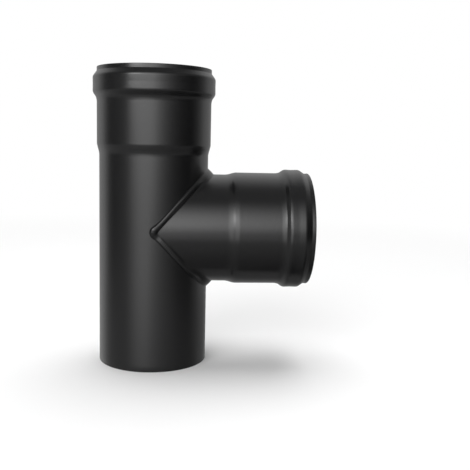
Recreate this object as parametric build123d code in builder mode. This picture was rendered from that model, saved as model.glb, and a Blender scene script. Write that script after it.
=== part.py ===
"""Stove pipe tee: a run pipe and a side branch, each ending in a beaded socket, joined by one saddle weld.

The origin is the centre of the spigot's cut end. +Z runs up the run pipe and +X along the branch.
"""

import os
from math import acos, cos, pi, sin

from build123d import *

# Tube stock, the same for the run and the branch
tube_radius = 40.0
wall = 1.2

# Straight stretches of tube: below the branch, between it and the run's cone, and out to its own cone
spigot_length = 60.0
run_neck = 13.0
branch_neck = 12.5

# Socket, drawn out of the tube; its depths are measured in from the mouth
slip_gap = 0.5
bead_height = 2.9
lip_depth = 2.3
bead_front_depth = 6.8
bead_rear_depth = 18.6
bead_end_depth = 22.8
socket_depth = 55.0
cone_length = 8.0

socket_bore = tube_radius + slip_gap
socket_radius = socket_bore + wall
bead_radius = socket_radius + bead_height

branch_height = spigot_length + tube_radius
run_length = branch_height + tube_radius + run_neck + cone_length + socket_depth
branch_reach = tube_radius + branch_neck + cone_length + socket_depth

# Opening in the run's wall, and the branch tube's thin saddle points cut back short of the run's middle
hole_ledge = 0.6
saddle_setback = 4.0
hole_radius = tube_radius - wall - hole_ledge

# Weld bead: its leg along each wall and its crown, at the two side points and on top of the saddle
side_leg = 2.8
side_crown = 1.6
saddle_leg = 4.3
saddle_crown = 0.15
root_depth = 1.2
weld_steps = 10
weld_flats = 5
stop_radius = 5.0
stop_height = 2.0

# Seal in each bead: a band with one lip, drawn as it lies when a pipe holds it back
seat_gap = 0.15
side_play = 0.6
band_thickness = 1.8
lip_gap = 0.35
lip_lean = 1.6
lip_tip = 0.7
lip_root = 2.0

seal_radius = bead_radius - wall - seat_gap
seal_bore = tube_radius + lip_gap
band_radius = seal_radius - band_thickness
band_front_depth = bead_front_depth + side_play
band_rear_depth = bead_rear_depth - side_play
lip_root_depth = (band_front_depth + band_rear_depth + lip_root) / 2
lip_tip_depth = lip_root_depth + lip_lean - (lip_root - lip_tip)

branch_centre = (0, 0, branch_height)
branch_axis = Axis(branch_centre, (1, 0, 0))
branch_section_plane = Plane(origin=branch_centre, x_dir=(0, 0, 1), z_dir=(0, 1, 0))


def pipe_section(start: float, mouth: float) -> Sketch:
    """Half section of a pipe with a socket at its mouth: x is the radius, y runs along the pipe."""
    outline = [
        (tube_radius, start),
        (tube_radius, mouth - socket_depth - cone_length),
        (socket_radius, mouth - socket_depth),
        (socket_radius, mouth - bead_end_depth),
        (bead_radius, mouth - bead_rear_depth),
        (bead_radius, mouth - bead_front_depth),
        (socket_radius, mouth - lip_depth),
        (socket_radius, mouth),
    ]
    with BuildSketch() as section:
        with BuildLine():
            Polyline(outline)
            offset(amount=wall, side=Side.LEFT, kind=Kind.INTERSECTION)
        make_face()
    return section.sketch


def seal_section(mouth: float) -> Sketch:
    """Half section of the seal in the bead behind a mouth, in the same plane as the pipe's."""
    outline = [
        (seal_radius, mouth - band_front_depth),
        (seal_radius, mouth - band_rear_depth),
        (band_radius, mouth - band_rear_depth),
        (band_radius, mouth - lip_root_depth),
        (seal_bore, mouth - lip_tip_depth),
        (seal_bore, mouth - lip_tip_depth + lip_tip),
        (band_radius, mouth - lip_root_depth + lip_root),
        (band_radius, mouth - band_front_depth),
    ]
    with BuildSketch() as section:
        with BuildLine():
            Polyline(outline, close=True)
        make_face()
    return section.sketch


def weld_section(turn: float) -> Sketch:
    """Section of the weld across the saddle line, at a turn in radians round it.

    The saddle line is where the two outer cylinders meet: turn 0 is its front point, pi / 2 its top and
    pi its back point. The face is crowned between its toes, which lie one leg out along each wall, and
    below them the section runs on into both walls, down to its root inside the corner.
    """
    s, c = sin(turn), cos(turn)
    leg = side_leg + (saddle_leg - side_leg) * s**2
    crown = side_crown + (saddle_crown - side_crown) * s**4
    half_angle = (pi - acos(c**2)) / 2
    half_width, toe_height = leg * sin(half_angle), leg * cos(half_angle)

    root = (-2 * root_depth, 0)
    under_run = (toe_height - root_depth, -half_width)
    shares = [2 * flat / weld_flats - 1 for flat in range(weld_flats + 1)]
    face = [(toe_height + crown * (1 - share**2), half_width * share) for share in shares]
    under_branch = (toe_height - root_depth, half_width)

    corner = Vector(tube_radius * s, -tube_radius * c, branch_height + tube_radius * s)
    outward = Vector(s, -2 * c, s).normalized()
    with BuildSketch(Plane(origin=corner, x_dir=outward, z_dir=(c, s, c))) as section:
        with BuildLine():
            Polyline(root, under_run, *face, under_branch, close=True)
        make_face()
    return section.sketch


# Run pipe: plain spigot below, socket on top, opening for the branch in its side
with BuildPart() as run_tube:
    with BuildSketch(Plane.XZ):
        add(pipe_section(0, run_length))
    revolve(axis=Axis.Z)
    with BuildSketch(Plane.YZ):
        with Locations((0, branch_height)):
            Circle(hole_radius)
    extrude(amount=2 * tube_radius, mode=Mode.SUBTRACT)
run_tube.part.label = "run_tube"

# Branch pipe: the same socket, its inner end cut to sit on the run
with BuildPart() as branch_tube:
    with BuildSketch(branch_section_plane):
        add(pipe_section(saddle_setback, branch_reach))
    revolve(axis=branch_axis)
    with Locations(branch_centre):
        Cylinder(tube_radius, 4 * tube_radius, mode=Mode.SUBTRACT)
branch_tube.part.label = "branch_tube"

# Weld bead all round the saddle line, thickest on top and below, with a stop at its front and back points
with BuildPart() as weld_seam:
    for step in range(weld_steps + 1):
        add(weld_section(pi * step / weld_steps))
    loft(ruled=True)
    mirror(about=Plane.XY.offset(branch_height))
    stop_offset = tube_radius + stop_height - stop_radius
    with Locations((0, -stop_offset, branch_height), (0, stop_offset, branch_height)):
        Sphere(stop_radius)
    with Locations(branch_centre):
        Cylinder(tube_radius, 4 * tube_radius, mode=Mode.SUBTRACT)
    with BuildSketch(Plane.YZ.offset(saddle_setback)):
        with Locations((0, branch_height)):
            Circle(tube_radius)
    extrude(amount=2 * tube_radius, mode=Mode.SUBTRACT)
weld_seam.part.label = "weld_seam"

# Seals, one in each bead
with BuildPart() as run_seal:
    with BuildSketch(Plane.XZ):
        add(seal_section(run_length))
    revolve(axis=Axis.Z)
run_seal.part.label = "run_seal"

with BuildPart() as branch_seal:
    with BuildSketch(branch_section_plane):
        add(seal_section(branch_reach))
    revolve(axis=branch_axis)
branch_seal.part.label = "branch_seal"

os.makedirs("parts", exist_ok=True)
for piece in (run_tube, branch_tube, weld_seam, run_seal, branch_seal):
    export_step(piece.part, f"parts/{piece.part.label}.step")
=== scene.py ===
from math import copysign, cos, pi, radians, sin, sqrt, tan

import bmesh
import bpy
import numpy as np
from mathutils import Matrix, Vector


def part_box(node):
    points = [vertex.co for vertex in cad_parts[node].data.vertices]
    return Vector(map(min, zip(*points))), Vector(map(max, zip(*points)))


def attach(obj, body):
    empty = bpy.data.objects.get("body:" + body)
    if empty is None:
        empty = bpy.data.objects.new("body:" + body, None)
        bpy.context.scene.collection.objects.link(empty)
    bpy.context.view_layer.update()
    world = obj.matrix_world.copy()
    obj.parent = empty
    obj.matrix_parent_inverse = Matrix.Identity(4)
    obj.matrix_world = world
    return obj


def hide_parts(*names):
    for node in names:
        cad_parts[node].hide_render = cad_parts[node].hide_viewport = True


# Looks of a stove pipe tee in satin black enamel: fine meshes for the drawn tubes, the weld and the seals,
# their materials, and a studio of a pale floor, two soft lamps and a surround that only the enamel mirrors.
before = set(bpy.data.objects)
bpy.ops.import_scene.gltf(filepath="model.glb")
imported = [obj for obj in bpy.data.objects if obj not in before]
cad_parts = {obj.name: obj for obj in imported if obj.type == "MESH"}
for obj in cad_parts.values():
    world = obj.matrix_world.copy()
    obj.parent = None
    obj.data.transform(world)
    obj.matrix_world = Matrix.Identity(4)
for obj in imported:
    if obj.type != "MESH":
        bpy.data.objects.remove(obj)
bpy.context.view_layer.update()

mm = 0.001

# Main sizes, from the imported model
_, run_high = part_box("run_tube")
branch_low, branch_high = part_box("branch_tube")
run_length = run_high.z
branch_reach = branch_high.x
branch_height = (branch_low.z + branch_high.z) / 2
bead_radius = run_high.x

# Tube stock and the drawn socket; depths are measured in from the mouth
tube_radius = 40.0 * mm
wall = 1.2 * mm
bead_height = 2.9 * mm
socket_radius = bead_radius - bead_height
lip_depth = 2.9 * mm
bead_front_depth = 6.8 * mm
bead_dip = 0.12 * mm
bead_rear_depth = 17.9 * mm
bead_step_depth = 21.15 * mm
bead_step_height = 0.68 * mm
bead_end_depth = 23.7 * mm
cone_top_depth = 54.8 * mm
cone_high_depth = 57.5 * mm
cone_low_depth = 58.9 * mm
cone_foot_depth = 61.6 * mm
cone_step = 0.02 * mm

# The branch's end is drawn a little differently: its cone has a larger step, its bead starts deeper and is
# more hollow, and its lip flares
branch_cone_step = 0.08 * mm
branch_bead_inset = 0.5 * mm
branch_bead_dip = 0.26 * mm
branch_lip_flare = 0.22 * mm

# Bends of the outer surface, in the order in which a finger meets them from the mouth, and the cut edges
lip_bend = 1.4 * mm
bead_front_bend = 3.6 * mm
bead_dip_bend = 30.0 * mm
bead_rear_bend = 4.0 * mm
bead_step_bend = 3.5 * mm
bead_foot_bend = 10.0 * mm
cone_top_bend = 6.0 * mm
cone_step_bend = 4.0 * mm
cone_foot_bend = 12.0 * mm
edge_radius = 0.35 * mm

# Opening in the run's wall, and how far the branch's thin saddle points are cut back
hole_radius = 38.2 * mm
saddle_setback = 4.0 * mm

# Weld bead on top of the saddle: its crown, and how far up the saddle the arms' section passes into it
saddle_crown = 0.12 * mm
fill_start, fill_end = 0.75, 0.93

# Rounding of the saddle line's two kinks, the stop at each and the notch under it, placed by their height
corner_radius = 2.4 * mm
stop_place, stop_reach = 1.6 * mm, 2.6 * mm
stop_height = 0.9 * mm
stop_leg = 1.0 * mm
notch_place, notch_reach, notch_share = -3.2 * mm, 1.6 * mm, 0.4

# How deep the bead's edges are buried, the width over which its lift turns from one wall's normal to the
# other's, and the number of stations over which its legs and height are eased
buried = 0.4 * mm
lift_turn = 1.0 * mm
eased_stations = 41

# Ripples of the bead, and the slow waves by which its leg and its height wander: the share, the length of a
# radian and the phase of each. The height's waves lie a number of stations behind the leg's
ripple_pitch = 1.35 * mm
ripple_height = 0.07 * mm
ripple_middle = 0.6
ripple_bow = 0.9
wander_leg, wander_height = 0.12 * mm, 0.1 * mm
wander_lag = 300
wander_waves = ((0.5, 9.0 * mm, 0), (0.3, 3.7 * mm, 1), (0.2, 2.1 * mm, 0))

# Weld's arms by how far up the saddle they are, from its bottom (-1) over the front or back point (0) to its
# top (1): the legs along both walls and the height of the bead, in mm
arm_levels = (-1, -0.73, -0.57, -0.42, -0.27, -0.12, 0, 0.12, 0.24, 0.4, 0.64, 0.8, 1)
arm_run_legs = (4.3, 4.2, 3.6, 2.9, 2.2, 1.8, 2.4, 2.7, 2.8, 3.5, 4.5, 4.7, 4.3)
arm_branch_legs = (4.3, 2.5, 2.4, 2.8, 3.2, 3.2, 2.8, 2.0, 1.7, 1.6, 1.8, 2.4, 4.3)
arm_heights = (0.9, 1.8, 1.8, 1.5, 1.15, 0.9, 1.25, 1.45, 1.5, 1.55, 1.6, 1.5, 0.8)

# Section of the arms: share of the bead's height, by place from the run's toe (0) to the branch's toe (1)
face_places = (0, 0.05, 0.11, 0.19, 0.28, 0.4, 0.53, 0.62, 0.69, 0.76, 0.83, 0.89, 0.95, 1)
face_heights = (0, 0.36, 0.7, 0.9, 0.98, 1, 0.98, 0.92, 0.79, 0.59, 0.36, 0.15, 0, -0.03)

# Seal in each bead
seat_gap = 0.15 * mm
front_play = 0.6 * mm
rear_play = 0.7 * mm
band_thickness = 1.8 * mm
lip_gap = 0.35 * mm
seal_lip_lean = 1.6 * mm
seal_lip_tip = 0.7 * mm
seal_lip_root = 2.0 * mm
seal_bend = 0.5 * mm
seal_lip_bend = 0.25 * mm

# Floor, which passes into the white background between two distances from the origin, and the dim world
floor_radius = 6.0
floor_fade_start, floor_fade_end = 0.25, 1.1
floor_tone = 0.88
world_strength = 0.3

# Tones, roughness and relief of the enamel and the silicone, and where most of a noise texture's values lie
enamel_dark, enamel_light = (0.0036, 0.0036, 0.0038, 1), (0.0056, 0.0056, 0.0059, 1)
enamel_roughness = (0.19, 0.25)
peel_relief, grain_relief = 0.02 * mm, 0.004 * mm
silicone_tone = (0.018, 0.018, 0.018, 1)
silicone_roughness = (0.5, 0.65)
skin_relief = 0.01 * mm
usual_noise = (0.3, 0.7)

# Surround that the enamel mirrors, and its soft box. Directions are in degrees: azimuth 0 is the front and 90
# the right side. Low down, both edges of the box lie further left and are softer
surround_radius = 5.0
box_strength = 3.8
box_left, box_left_fade = -50.7, 4.0
box_low_left, box_low_left_fade = 12.0, 36.0
box_left_tone, box_left_band = 0.84, (-50, -10)
box_right_fade, box_right_bend = 18.5, 3.0
box_low_right, box_low_right_fade = 13.0, 4.0
box_low_band, box_sheen_band, box_top_band = (8, 0), (2, -12), (13, 65)
box_elevations = (-24, -19, -15, -10, -6, -3, 3, 8, 14)
box_shares = (0, 0.17, 0.33, 0.44, 0.46, 0.55, 0.71, 0.94, 1)
room_azimuths = (-180, -150, -124, -112, -103, -90, -76, -58, 45, 80, 95, 118, 145, 180)
room_tones = (0.35, 0.5, 0.85, 0.6, 0.28, 0.17, 0.26, 0.4, 0.0, 0.0, 0.22, 0.68, 0.45, 0.35)

# Camera
camera_place = (10.89 * mm, -535.08 * mm, 165.24 * mm)
camera_yaw, camera_pitch, camera_roll = radians(5.401), radians(-7.51), radians(1.3)
image_width, focal_pixels = 470, 713.56
sensor_width = 36.0

# Fineness of the meshes
columns = 384
plain_rows = 24
bend_steps = 9
edge_steps = 5
weld_stations = 1800
weld_points = 31
floor_segments = 96
surround_columns, surround_rows = 241, 181
merge_distance = 0.001 * mm
sharp_angle = radians(40)
rounding = 1e-9


def smooth(share):
    """Eases from 0 to 1, flat at both ends."""
    share = np.clip(share, 0, 1)
    return share * share * (3 - 2 * share)


def ramp(value, start, end):
    """Eases from 0 at the start to 1 at the end, which may be below it."""
    return smooth((value - start) / (end - start))


def bell(value, centre, width):
    """1 at the centre, falling off on both sides."""
    return np.exp(-((value - centre) / width)**2)


def rounded_path(corners):
    """Points of a path of straight lines and tangent arcs, and the normals on its left.

    A corner is its place along the pipe, its radius from the pipe's axis and the radius of its bend.
    """
    places = np.array([corner[:2] for corner in corners])
    runs = np.diff(places, axis=0)
    headings = np.arctan2(runs[:, 1], runs[:, 0])
    points, normals = [places[0]], [(-sin(headings[0]), cos(headings[0]))]
    for place, before, after, corner in zip(places[1:-1], headings, headings[1:], corners[1:-1]):
        bend = copysign(corner[2], after - before)
        start = place - bend * tan((after - before) / 2) * np.array([cos(before), sin(before)])
        centre = start + bend * np.array([-sin(before), cos(before)])
        for heading in np.linspace(before, after, bend_steps):
            normal = np.array([-sin(heading), cos(heading)])
            points.append(centre - bend * normal)
            normals.append(normal)
    points.append(places[-1])
    normals.append((-sin(headings[-1]), cos(headings[-1])))
    return np.array(points), np.array(normals)


def edge_arc(place, radius, start, end):
    """Quarter of a rounded sheet edge about a centre, between two headings in degrees."""
    turns = np.radians(np.linspace(start, end, edge_steps))
    return np.stack([place + edge_radius * np.cos(turns), radius + edge_radius * np.sin(turns)], 1)


def drawn_end(mouth, step=cone_step, inset=0, dip=bead_dip, flare=0):
    """Outline of a pipe's drawn end, out along its outside, round the lip's cut edge and back inside.

    It starts and ends on the plain tube, where the cone's first bend begins. The middle of the cone is
    steeper by the step, the bead's front edge lies an inset deeper, its crown is hollow by the dip, and the
    lip widens by the flare.
    """
    front, lip_radius = bead_front_depth + inset, socket_radius + flare
    slope = (socket_radius - tube_radius) / (cone_foot_depth - cone_top_depth)
    cone_low_radius = tube_radius + slope * (cone_foot_depth - cone_low_depth) - step
    cone_high_radius = tube_radius + slope * (cone_foot_depth - cone_high_depth) + step
    outside, normals = rounded_path([
        (mouth - cone_foot_depth - cone_foot_bend, tube_radius, 0),
        (mouth - cone_foot_depth, tube_radius, cone_foot_bend),
        (mouth - cone_low_depth, cone_low_radius, cone_step_bend),
        (mouth - cone_high_depth, cone_high_radius, cone_step_bend),
        (mouth - cone_top_depth, socket_radius, cone_top_bend),
        (mouth - bead_end_depth, socket_radius, bead_foot_bend),
        (mouth - bead_step_depth, socket_radius + bead_step_height, bead_step_bend),
        (mouth - bead_rear_depth, bead_radius, bead_rear_bend),
        (mouth - (front + bead_rear_depth) / 2, bead_radius - dip, bead_dip_bend),
        (mouth - front, bead_radius, bead_front_bend),
        (mouth - lip_depth, socket_radius, lip_bend),
        (mouth, lip_radius, 0),
    ])
    inside = outside - wall * normals
    cut = mouth - edge_radius
    lip_edge = [edge_arc(cut, lip_radius - edge_radius, 90, 0),
                edge_arc(cut, lip_radius - wall + edge_radius, 0, -90)]
    return np.concatenate([outside[1:-1], *lip_edge, inside[-2:0:-1]])


def about_run(along, radius, turn):
    """Points round the run's axis; turn 0 faces the branch."""
    return np.stack(np.broadcast_arrays(radius * np.cos(turn), radius * np.sin(turn), along), -1)


def about_branch(along, radius, turn):
    """Points round the branch's axis; turn 0 faces the front and a quarter turn is its top."""
    return np.stack(np.broadcast_arrays(
        along, -radius * np.cos(turn), branch_height + radius * np.sin(turn)), -1)


def revolve(outline, turns, about):
    """Grid of points, one row for each point of the outline and one column for each turn."""
    return about(outline[:, :1], outline[:, 1:], turns[None, :])


def grid_faces(rows, across=columns, first=0, closed=False):
    """Quads of a grid whose columns run all the way round, and its rows too if it is closed."""
    row = np.arange(rows if closed else rows - 1)[:, None]
    column = np.arange(across)[None, :]
    beside, this, above = (column + 1) % across, row * across, (row + 1) % rows * across
    corners = (this + column, this + beside, above + beside, above + column)
    return (np.stack(corners, -1).reshape(-1, 4) + first).tolist()


def new_piece(name, points, faces, material, node):
    """Smooth-shaded mesh that rides on the part and stands for one of its solids."""
    mesh = bpy.data.meshes.new(name)
    mesh.from_pydata(points.reshape(-1, 3).tolist(), [], faces)
    welded = bmesh.new()
    welded.from_mesh(mesh)
    bmesh.ops.remove_doubles(welded, verts=welded.verts, dist=merge_distance)
    bmesh.ops.recalc_face_normals(welded, faces=welded.faces)
    welded.to_mesh(mesh)
    welded.free()
    mesh.polygons.foreach_set("use_smooth", [True] * len(mesh.polygons))
    mesh.set_sharp_from_angle(angle=sharp_angle)
    mesh.materials.append(material)
    piece = bpy.data.objects.new(name, mesh)
    bpy.context.scene.collection.objects.link(piece)
    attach(piece, "root")
    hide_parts(node)
    return piece


def hole_turn(turns, radius):
    """Where each column of the run meets the branch opening's edge, or passes it at the back."""
    edge = np.arcsin(hole_radius / radius)
    inside = np.arcsin(np.clip(hole_radius * np.sin(turns) / radius, -1, 1))
    beyond = np.sign(turns) * (edge + (np.abs(turns) - pi / 2) * (pi - edge) / (pi / 2))
    return np.where(np.abs(turns) <= pi / 2, inside, beyond)


def run_wall(radius, end, side, turns):
    """Rows of one face of the run's plain wall, from its end (row 0) to the edge of the branch opening."""
    share = np.linspace(0, 1, plain_rows)[:, None]
    edge = branch_height + side * hole_radius * np.clip(np.cos(turns), 0, None)
    turn = turns + (hole_turn(turns, radius) - turns) * smooth(share)
    return about_run(end + (edge - end) * share, radius, turn)


def build_run(material):
    """Run pipe: plain spigot, opening for the branch, drawn socket."""
    turns = (np.arange(columns) / columns - 0.5) * 2 * pi
    top = drawn_end(run_length)
    cone_start = top[0, 0]
    inner_radius = tube_radius - wall
    spigot_edge = np.concatenate([edge_arc(edge_radius, inner_radius + edge_radius, -90, -180),
                                  edge_arc(edge_radius, tube_radius - edge_radius, 180, 90)])
    lower = np.concatenate([
        run_wall(inner_radius, edge_radius, -1, turns)[::-1],
        revolve(spigot_edge, turns, about_run),
        run_wall(tube_radius, edge_radius, -1, turns),
    ])
    upper = np.concatenate([
        run_wall(tube_radius, cone_start, 1, turns)[::-1],
        revolve(top, turns, about_run),
        run_wall(inner_radius, cone_start, 1, turns),
    ])
    upper_first = len(lower) * columns
    faces = grid_faces(len(lower)) + grid_faces(len(upper), first=upper_first)
    towards_branch = np.flatnonzero(np.abs(turns) < pi / 2 + rounding)[:-1].tolist()
    for shell, first in ((lower, 0), (upper, upper_first)):
        last = first + (len(shell) - 1) * columns
        faces += [(first + column, first + column + 1, last + column + 1, last + column)
                  for column in towards_branch]
    points = np.concatenate([lower.reshape(-1, 3), upper.reshape(-1, 3)])
    return new_piece("run_pipe", points, faces, material, "run_tube")


def branch_wall(radius, saddle, end, turns):
    """Rows of one face of the branch's plain wall, from its saddle cut (row 0) to its cone."""
    share = np.linspace(0, 1, plain_rows)[:, None]
    return about_branch(saddle + (end - saddle) * share, radius, turns)


def build_branch(material):
    """Branch pipe: saddle cut that sits on the run, plain neck, drawn socket."""
    turns = np.arange(columns) / columns * 2 * pi
    end = drawn_end(branch_reach, branch_cone_step, branch_bead_inset, branch_bead_dip, branch_lip_flare)
    cone_start = end[0, 0]
    inner_radius = tube_radius - wall
    outer_saddle = np.maximum(tube_radius * np.abs(np.sin(turns)), saddle_setback)
    inner_saddle = np.sqrt(tube_radius**2 - (inner_radius * np.cos(turns))**2)
    rows = np.concatenate([
        branch_wall(tube_radius, outer_saddle, cone_start, turns),
        revolve(end, turns, about_branch),
        branch_wall(inner_radius, inner_saddle, cone_start, turns)[::-1],
    ])
    faces = grid_faces(len(rows), closed=True)
    return new_piece("branch_pipe", rows, faces, material, "branch_tube")


def saddle_line():
    """Points round the line where the two outer surfaces meet, its two kinks rounded, and their turns."""
    turns = np.linspace(0, 2 * pi, weld_stations, endpoint=False)
    rise = tube_radius * np.sin(turns)
    tangent_reach = corner_radius / sqrt(2)
    rounded = corner_radius * sqrt(2) - np.sqrt(np.maximum(corner_radius**2 - rise**2, 0))
    reach = np.where(np.abs(rise) < tangent_reach, rounded, np.abs(rise))
    return np.stack([reach, -tube_radius * np.cos(turns), branch_height + rise], 1), turns


def on_run(points, radius):
    """The points moved to a cylinder round the run's axis."""
    moved = points.copy()
    moved[:, :2] *= (radius / np.hypot(points[:, 0], points[:, 1]))[:, None]
    return moved


def on_branch(points, radius):
    """The points moved to a cylinder round the branch's axis."""
    centre = np.array([0, 0, branch_height])
    moved = points - centre
    moved[:, 1:] *= (radius / np.hypot(moved[:, 1], moved[:, 2]))[:, None]
    return moved + centre


def unit(vectors):
    return vectors / np.linalg.norm(vectors, axis=1, keepdims=True)


def around(values):
    """The values round the saddle line, their corners eased."""
    weights = np.hanning(eased_stations)
    middle = eased_stations // 2
    total = sum(np.roll(values, place - middle) * weight for place, weight in enumerate(weights))
    return total / weights.sum()


def build_weld(material):
    """Weld bead: a crowned, rippled section carried round the saddle line, with a stop at each side point."""
    line, turns = saddle_line()
    s, c = np.sin(turns), np.cos(turns)
    ahead = unit(np.roll(line, -1, axis=0) - np.roll(line, 1, axis=0))
    outward = unit(np.stack([np.abs(s), -2 * c, s], 1))
    across = unit(np.cross(ahead, outward))
    half = (pi - np.arccos(c**2)) / 2
    travel = np.cumsum(np.linalg.norm(line - np.roll(line, 1, axis=0), axis=1))
    rise = tube_radius * s
    stop = bell(rise, stop_place, stop_reach)
    notch = notch_share * bell(rise, notch_place, notch_reach)
    fill = ramp(np.abs(s), fill_start, fill_end)
    wander = sum(share * np.sin(travel / length + phase) for share, length, phase in wander_waves)

    run_leg = around(np.interp(s, arm_levels, arm_run_legs)) * mm + stop_leg * stop + wander_leg * wander
    branch_leg = around(np.interp(s, arm_levels, arm_branch_legs)) * mm
    height = around(np.interp(s, arm_levels, arm_heights)) * mm + wander_height * np.roll(wander, wander_lag)
    height = (height + stop_height * stop) * (1 - notch)
    outward_half, across_half = np.cos(half)[:, None] * outward, np.sin(half)[:, None] * across
    to_run, to_branch = outward_half - across_half, outward_half + across_half
    centre = np.array([0, 0, branch_height])
    run_normal = unit(line * (1, 1, 0))
    branch_normal = unit((line - centre) * (0, 1, 1))

    def wall_point(reach, lift):
        """The point a signed reach from the saddle line, minus on the run and plus on the branch, lifted."""
        place = line + np.abs(reach)[:, None] * np.where(reach[:, None] < 0, to_run, to_branch)
        on_wall = np.where(reach[:, None] < 0, on_run(place, tube_radius), on_branch(place, tube_radius))
        lean = ramp(reach, -lift_turn / 2, lift_turn / 2)[:, None]
        return on_wall + lift[:, None] * unit(run_normal * (1 - lean) + branch_normal * lean)

    nothing = np.zeros(weld_stations)
    first, last = wall_point(-run_leg, nothing), wall_point(branch_leg, nothing)
    section = [wall_point(-run_leg, nothing - buried)]
    for share in np.linspace(0, 1, weld_points):
        profile = np.interp(share, face_places, face_heights)
        phase = travel / ripple_pitch + ripple_bow * (2 * share - 1)**2
        ripple = ripple_height * (np.abs(np.sin(pi * phase)) - ripple_middle) * max(profile, 0)
        arm_face = wall_point((run_leg + branch_leg) * share - run_leg, profile * height + ripple)
        crown = saddle_crown * 4 * share * (1 - share) + ripple
        saddle_face = first + (last - first) * share + crown[:, None] * outward
        section.append(arm_face + (saddle_face - arm_face) * fill[:, None])
    section.append(wall_point(branch_leg, nothing - buried))
    section.append(line - 2 * buried * outward)

    faces = grid_faces(len(section), weld_stations, closed=True)
    return new_piece("weld_bead", np.stack(section), faces, material, "weld_seam")


def build_seal(name, mouth, about, material, node, inset=0):
    """Seal in the bead behind a mouth: a band with one lip, its corners softly moulded."""
    seal_radius = bead_radius - wall - seat_gap
    band_radius = seal_radius - band_thickness
    lip_radius = tube_radius + lip_gap
    front, rear = bead_front_depth + inset + front_play, bead_rear_depth - rear_play
    root = (front + rear) / 2 + seal_lip_root / 2
    tip = root + seal_lip_lean - (seal_lip_root - seal_lip_tip)
    start = (mouth - (front + rear) / 2, seal_radius, 0)
    outline, _ = rounded_path([
        start,
        (mouth - rear, seal_radius, seal_bend),
        (mouth - rear, band_radius, seal_bend),
        (mouth - root, band_radius, seal_bend),
        (mouth - tip, lip_radius, seal_lip_bend),
        (mouth - tip + seal_lip_tip, lip_radius, seal_lip_bend),
        (mouth - root + seal_lip_root, band_radius, seal_bend),
        (mouth - front, band_radius, seal_bend),
        (mouth - front, seal_radius, seal_bend),
        start,
    ])
    turns = np.arange(columns) / columns * 2 * pi
    rows = revolve(outline[:-1], turns, about)
    faces = grid_faces(len(rows), closed=True)
    return new_piece(name, rows, faces, material, node)


def new_material(name):
    material = bpy.data.materials.new(name)
    material.use_nodes = True
    tree = material.node_tree
    return material, tree, tree.nodes["Principled BSDF"]


def add_node(tree, kind, inputs=None, **settings):
    """A node with its own settings, and with the values of its unlinked inputs."""
    node = tree.nodes.new(kind)
    for name, value in settings.items():
        setattr(node, name, value)
    for name, value in (inputs or {}).items():
        node.inputs[name].default_value = value
    return node


def noise(tree, coordinates, scale, detail=2.0, roughness=0.5):
    node = add_node(tree, "ShaderNodeTexNoise", {"Scale": scale, "Detail": detail, "Roughness": roughness})
    tree.links.new(coordinates, node.inputs["Vector"])
    return node.outputs["Fac"]


def spread(tree, value, band):
    """The noise value's usual range carried to a band."""
    limits = {"From Min": usual_noise[0], "From Max": usual_noise[1], "To Min": band[0], "To Max": band[1]}
    node = add_node(tree, "ShaderNodeMapRange", limits)
    tree.links.new(value, node.inputs["Value"])
    return node.outputs["Result"]


def bump(tree, height, distance, normal=None):
    node = add_node(tree, "ShaderNodeBump", {"Distance": distance})
    tree.links.new(height, node.inputs["Height"])
    if normal:
        tree.links.new(normal, node.inputs["Normal"])
    return node.outputs["Normal"]


def enamel_material():
    """Satin black stove enamel: faint orange peel, and a gloss that varies slightly from place to place."""
    material, tree, shader = new_material("satin_black_enamel")
    place = add_node(tree, "ShaderNodeTexCoord").outputs["Object"]
    cloud = noise(tree, place, 28.0, detail=3.0)
    peel = noise(tree, place, 520.0, detail=1.0)
    grain = noise(tree, place, 2600.0, detail=2.0)

    tint = add_node(tree, "ShaderNodeMix", data_type="RGBA")
    tint.inputs["A"].default_value = enamel_dark
    tint.inputs["B"].default_value = enamel_light
    tree.links.new(cloud, tint.inputs["Factor"])
    tree.links.new(tint.outputs["Result"], shader.inputs["Base Color"])
    tree.links.new(spread(tree, grain, enamel_roughness), shader.inputs["Roughness"])
    uneven = bump(tree, peel, peel_relief)
    tree.links.new(bump(tree, grain, grain_relief, uneven), shader.inputs["Normal"])
    return material


def seal_material():
    """Matt black silicone with a fine moulded skin."""
    material, tree, shader = new_material("matt_black_silicone")
    place = add_node(tree, "ShaderNodeTexCoord").outputs["Object"]
    skin = noise(tree, place, 1800.0, detail=3.0)
    shader.inputs["Base Color"].default_value = silicone_tone
    tree.links.new(spread(tree, skin, silicone_roughness), shader.inputs["Roughness"])
    tree.links.new(bump(tree, skin, skin_relief), shader.inputs["Normal"])
    return material


def seen_white(tree):
    """1 for what the camera sees, straight, in a reflection or through glass, and 0 for what gives light."""
    path = add_node(tree, "ShaderNodeLightPath")
    either = path.outputs["Is Camera Ray"]
    for name in ("Is Glossy Ray", "Is Transmission Ray"):
        larger = add_node(tree, "ShaderNodeMath", operation="MAXIMUM")
        tree.links.new(either, larger.inputs[0])
        tree.links.new(path.outputs[name], larger.inputs[1])
        either = larger.outputs[0]
    return either


def build_world():
    """White background that lights the scene only dimly."""
    world = bpy.data.worlds.new("studio")
    bpy.context.scene.world = world
    world.use_nodes = True
    tree = world.node_tree
    dim = tree.nodes["Background"]
    dim.inputs["Color"].default_value = (1, 1, 1, 1)
    dim.inputs["Strength"].default_value = world_strength
    white = add_node(tree, "ShaderNodeBackground", {"Color": (1, 1, 1, 1), "Strength": 1.0})
    mix = add_node(tree, "ShaderNodeMixShader")
    tree.links.new(seen_white(tree), mix.inputs[0])
    tree.links.new(dim.outputs[0], mix.inputs[1])
    tree.links.new(white.outputs[0], mix.inputs[2])
    tree.links.new(mix.outputs[0], tree.nodes["World Output"].inputs[0])


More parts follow.
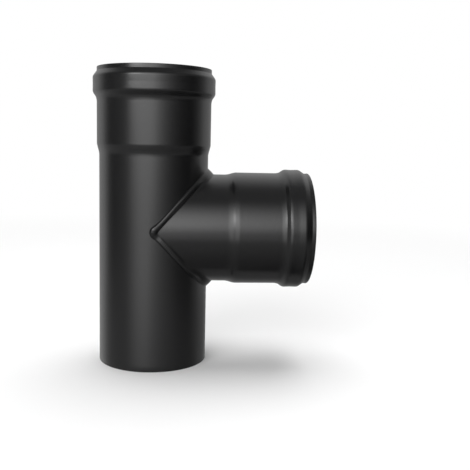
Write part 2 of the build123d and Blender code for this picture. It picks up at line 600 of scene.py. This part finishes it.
def build_floor():
    """Pale floor that keeps the shadow near the object and passes into the white background far from it."""
    floor_shape = bmesh.new()
    bmesh.ops.create_circle(floor_shape, cap_ends=True, segments=floor_segments, radius=floor_radius)
    mesh = bpy.data.meshes.new("floor")
    floor_shape.to_mesh(mesh)
    floor_shape.free()
    floor = bpy.data.objects.new("floor", mesh)
    bpy.context.scene.collection.objects.link(floor)
    material, tree, shader = new_material("pale_floor")
    shader.inputs["Base Color"].default_value = (floor_tone, floor_tone, floor_tone, 1)
    shader.inputs["Roughness"].default_value = 0.9
    place = add_node(tree, "ShaderNodeTexCoord").outputs["Object"]
    length = add_node(tree, "ShaderNodeVectorMath", operation="LENGTH")
    tree.links.new(place, length.inputs[0])
    fade = {"From Min": floor_fade_start, "From Max": floor_fade_end}
    far = add_node(tree, "ShaderNodeMapRange", fade, interpolation_type="SMOOTHSTEP")
    tree.links.new(length.outputs["Value"], far.inputs["Value"])
    factor = add_node(tree, "ShaderNodeMath", operation="MULTIPLY")
    tree.links.new(far.outputs["Result"], factor.inputs[0])
    tree.links.new(seen_white(tree), factor.inputs[1])
    white = add_node(tree, "ShaderNodeEmission", {"Color": (1, 1, 1, 1), "Strength": 1.0})
    mix = add_node(tree, "ShaderNodeMixShader")
    tree.links.new(factor.outputs[0], mix.inputs[0])
    tree.links.new(shader.outputs[0], mix.inputs[1])
    tree.links.new(white.outputs[0], mix.inputs[2])
    tree.links.new(mix.outputs[0], tree.nodes["Material Output"].inputs["Surface"])
    mesh.materials.append(material)
    floor.visible_glossy = False


def soft_box(azimuth, elevation):
    """Share of the large soft box's light.

    It is crisp on its left and fades to its right and over its top. Below it lies a sheen with no crisp edge.
    """
    below = ramp(elevation, *box_low_band)
    left = smooth((azimuth - box_left + box_low_left * below) / (box_left_fade + box_low_left_fade * below))
    left = left * (box_left_tone + (1 - box_left_tone) * ramp(azimuth, *box_left_band))
    sheen = ramp(elevation, *box_sheen_band)
    past = azimuth + box_low_right * sheen
    fade = box_right_fade + box_low_right_fade * sheen
    right = np.exp(-(past + np.hypot(past, box_right_bend)) / 2 / fade)
    upper = 1 - ramp(elevation, *box_top_band)
    lower = np.interp(elevation, box_elevations, box_shares)
    return left * right * upper * lower


def surround_tone(azimuth, elevation):
    """Tone of the whole studio: the soft box with its hot spot, the flags and the white background round it,
    the ceiling and the table."""
    behind = ramp(np.abs(azimuth), 100, 140)
    side, front = np.sin(np.radians(azimuth)), np.cos(np.radians(azimuth))
    ceiling = 0.27 + 0.63 * behind * (1 - ramp(elevation, 55, 90))

    table = 0.34 + 0.08 * front - 0.1 * side + behind * (0.12 - 0.15 * side)
    shade_below = 0.5 * ramp(elevation, -30, -70)
    glow_below = 0.18 * bell(azimuth, 140, 30) * ramp(elevation, -55, -70)
    shade_right = 0.8 * bell(azimuth, 66, 26) * ramp(elevation, -24, -36)
    near_rim = (0.12 * bell(azimuth, 118, 16) + 0.22 * bell(azimuth, -127, 22)) * ramp(elevation, -32, -20)
    table = (table * (1 - shade_below) + glow_below) * (1 - shade_right) + near_rim

    left_flag = 0.8 * bell(azimuth, -66, 9) * bell(elevation, 24, 12)
    wall = np.interp(azimuth, room_azimuths, room_tones) * (1 - left_flag)
    horizon = -9 - 2.5 * ramp(azimuth, 40, 55) * (1 - ramp(azimuth, 92, 107))
    up, down = ramp(elevation, 2, 47), smooth((horizon - elevation) / 5)
    hot_spot = 4.8 * bell(azimuth, -36, 13) * bell(elevation, 23, 10)
    room = wall + (ceiling - wall) * up + (table - wall) * down
    return room + box_strength * soft_box(azimuth, elevation) + hot_spot


def glow_material(name):
    """Light that a screen gives, stored on its points."""
    material = bpy.data.materials.new(name)
    material.use_nodes = True
    tree = material.node_tree
    tree.nodes.clear()
    glow = add_node(tree, "ShaderNodeAttribute", attribute_name="glow")
    emission = add_node(tree, "ShaderNodeEmission")
    output = add_node(tree, "ShaderNodeOutputMaterial")
    tree.links.new(glow.outputs["Fac"], emission.inputs["Strength"])
    tree.links.new(emission.outputs[0], output.inputs["Surface"])
    return material


def build_screen(name, points, tones):
    """Studio screen from a grid of points with a tone each, seen only in reflections."""
    rows, across = tones.shape
    faces = [(i * across + j, i * across + j + 1, (i + 1) * across + j + 1, (i + 1) * across + j)
             for i in range(rows - 1) for j in range(across - 1)]
    mesh = bpy.data.meshes.new(name)
    mesh.from_pydata(points.reshape(-1, 3).tolist(), [], faces)
    stored = mesh.attributes.new("glow", "FLOAT", "POINT")
    stored.data.foreach_set("value", tones.ravel().astype(np.float32))
    mesh.materials.append(glow_material(name))
    screen = bpy.data.objects.new(name, mesh)
    bpy.context.scene.collection.objects.link(screen)
    screen.visible_camera = False
    screen.visible_diffuse = False
    screen.visible_shadow = False
    screen.visible_transmission = False


def build_studio():
    """The studio as the enamel mirrors it, on a far screen round the object."""
    azimuths, elevations = np.linspace(-180, 180, surround_columns), np.linspace(-90, 90, surround_rows)
    azimuth, elevation = np.meshgrid(azimuths, elevations, indexing="ij")
    a, e = np.radians(azimuth), np.radians(elevation)
    points = np.stack([np.sin(a) * np.cos(e), -np.cos(a) * np.cos(e), np.sin(e)], -1) * surround_radius
    points[..., 2] += branch_height
    build_screen("surround", points, surround_tone(azimuth, elevation))


def build_lamp(name, place, size, energy):
    """Large soft lamp aimed at the branch's height, lighting surfaces without showing in reflections."""
    lamp = bpy.data.lights.new(name, "AREA")
    lamp.shape, lamp.size, lamp.energy = "DISK", size, energy
    light = bpy.data.objects.new(name, lamp)
    light.location = place
    aim = Vector((0, 0, branch_height)) - light.location
    light.rotation_euler = aim.to_track_quat("-Z", "Y").to_euler()
    light.visible_camera = False
    light.visible_glossy = False
    bpy.context.scene.collection.objects.link(light)


def build_camera():
    """Camera at the photograph's angle: half a metre in front of the run, a little above the branch."""
    yaw, pitch, roll = camera_yaw, camera_pitch, camera_roll
    camera_data = bpy.data.cameras.new("camera")
    camera_data.sensor_width = sensor_width
    camera_data.lens = focal_pixels * sensor_width / image_width
    camera_data.clip_start, camera_data.clip_end = 0.02, 50
    camera = bpy.data.objects.new("camera", camera_data)
    look = Vector((sin(yaw) * cos(pitch), cos(yaw) * cos(pitch), sin(pitch)))
    level_right = Vector((cos(yaw), -sin(yaw), 0))
    level_up = level_right.cross(look)
    right = level_right * cos(roll) + level_up * sin(roll)
    up = level_up * cos(roll) - level_right * sin(roll)
    turned = Matrix((right, up, -look)).transposed().to_4x4()
    camera.matrix_world = Matrix.Translation(camera_place) @ turned
    bpy.context.scene.collection.objects.link(camera)
    bpy.context.scene.camera = camera


enamel, silicone = enamel_material(), seal_material()
build_run(enamel)
build_branch(enamel)
build_weld(enamel)
build_seal("run_socket_seal", run_length, about_run, silicone, "run_seal")
build_seal("branch_socket_seal", branch_reach, about_branch, silicone, "branch_seal", branch_bead_inset)

build_world()
build_floor()
build_studio()
build_lamp("key_lamp", place=(-0.5, -1.2, 0.9), size=1.2, energy=14.0)
build_lamp("top_lamp", place=(0.1, 0.4, 1.6), size=1.4, energy=21.5)
build_camera()
bpy.context.scene.view_settings.view_transform = "Standard"
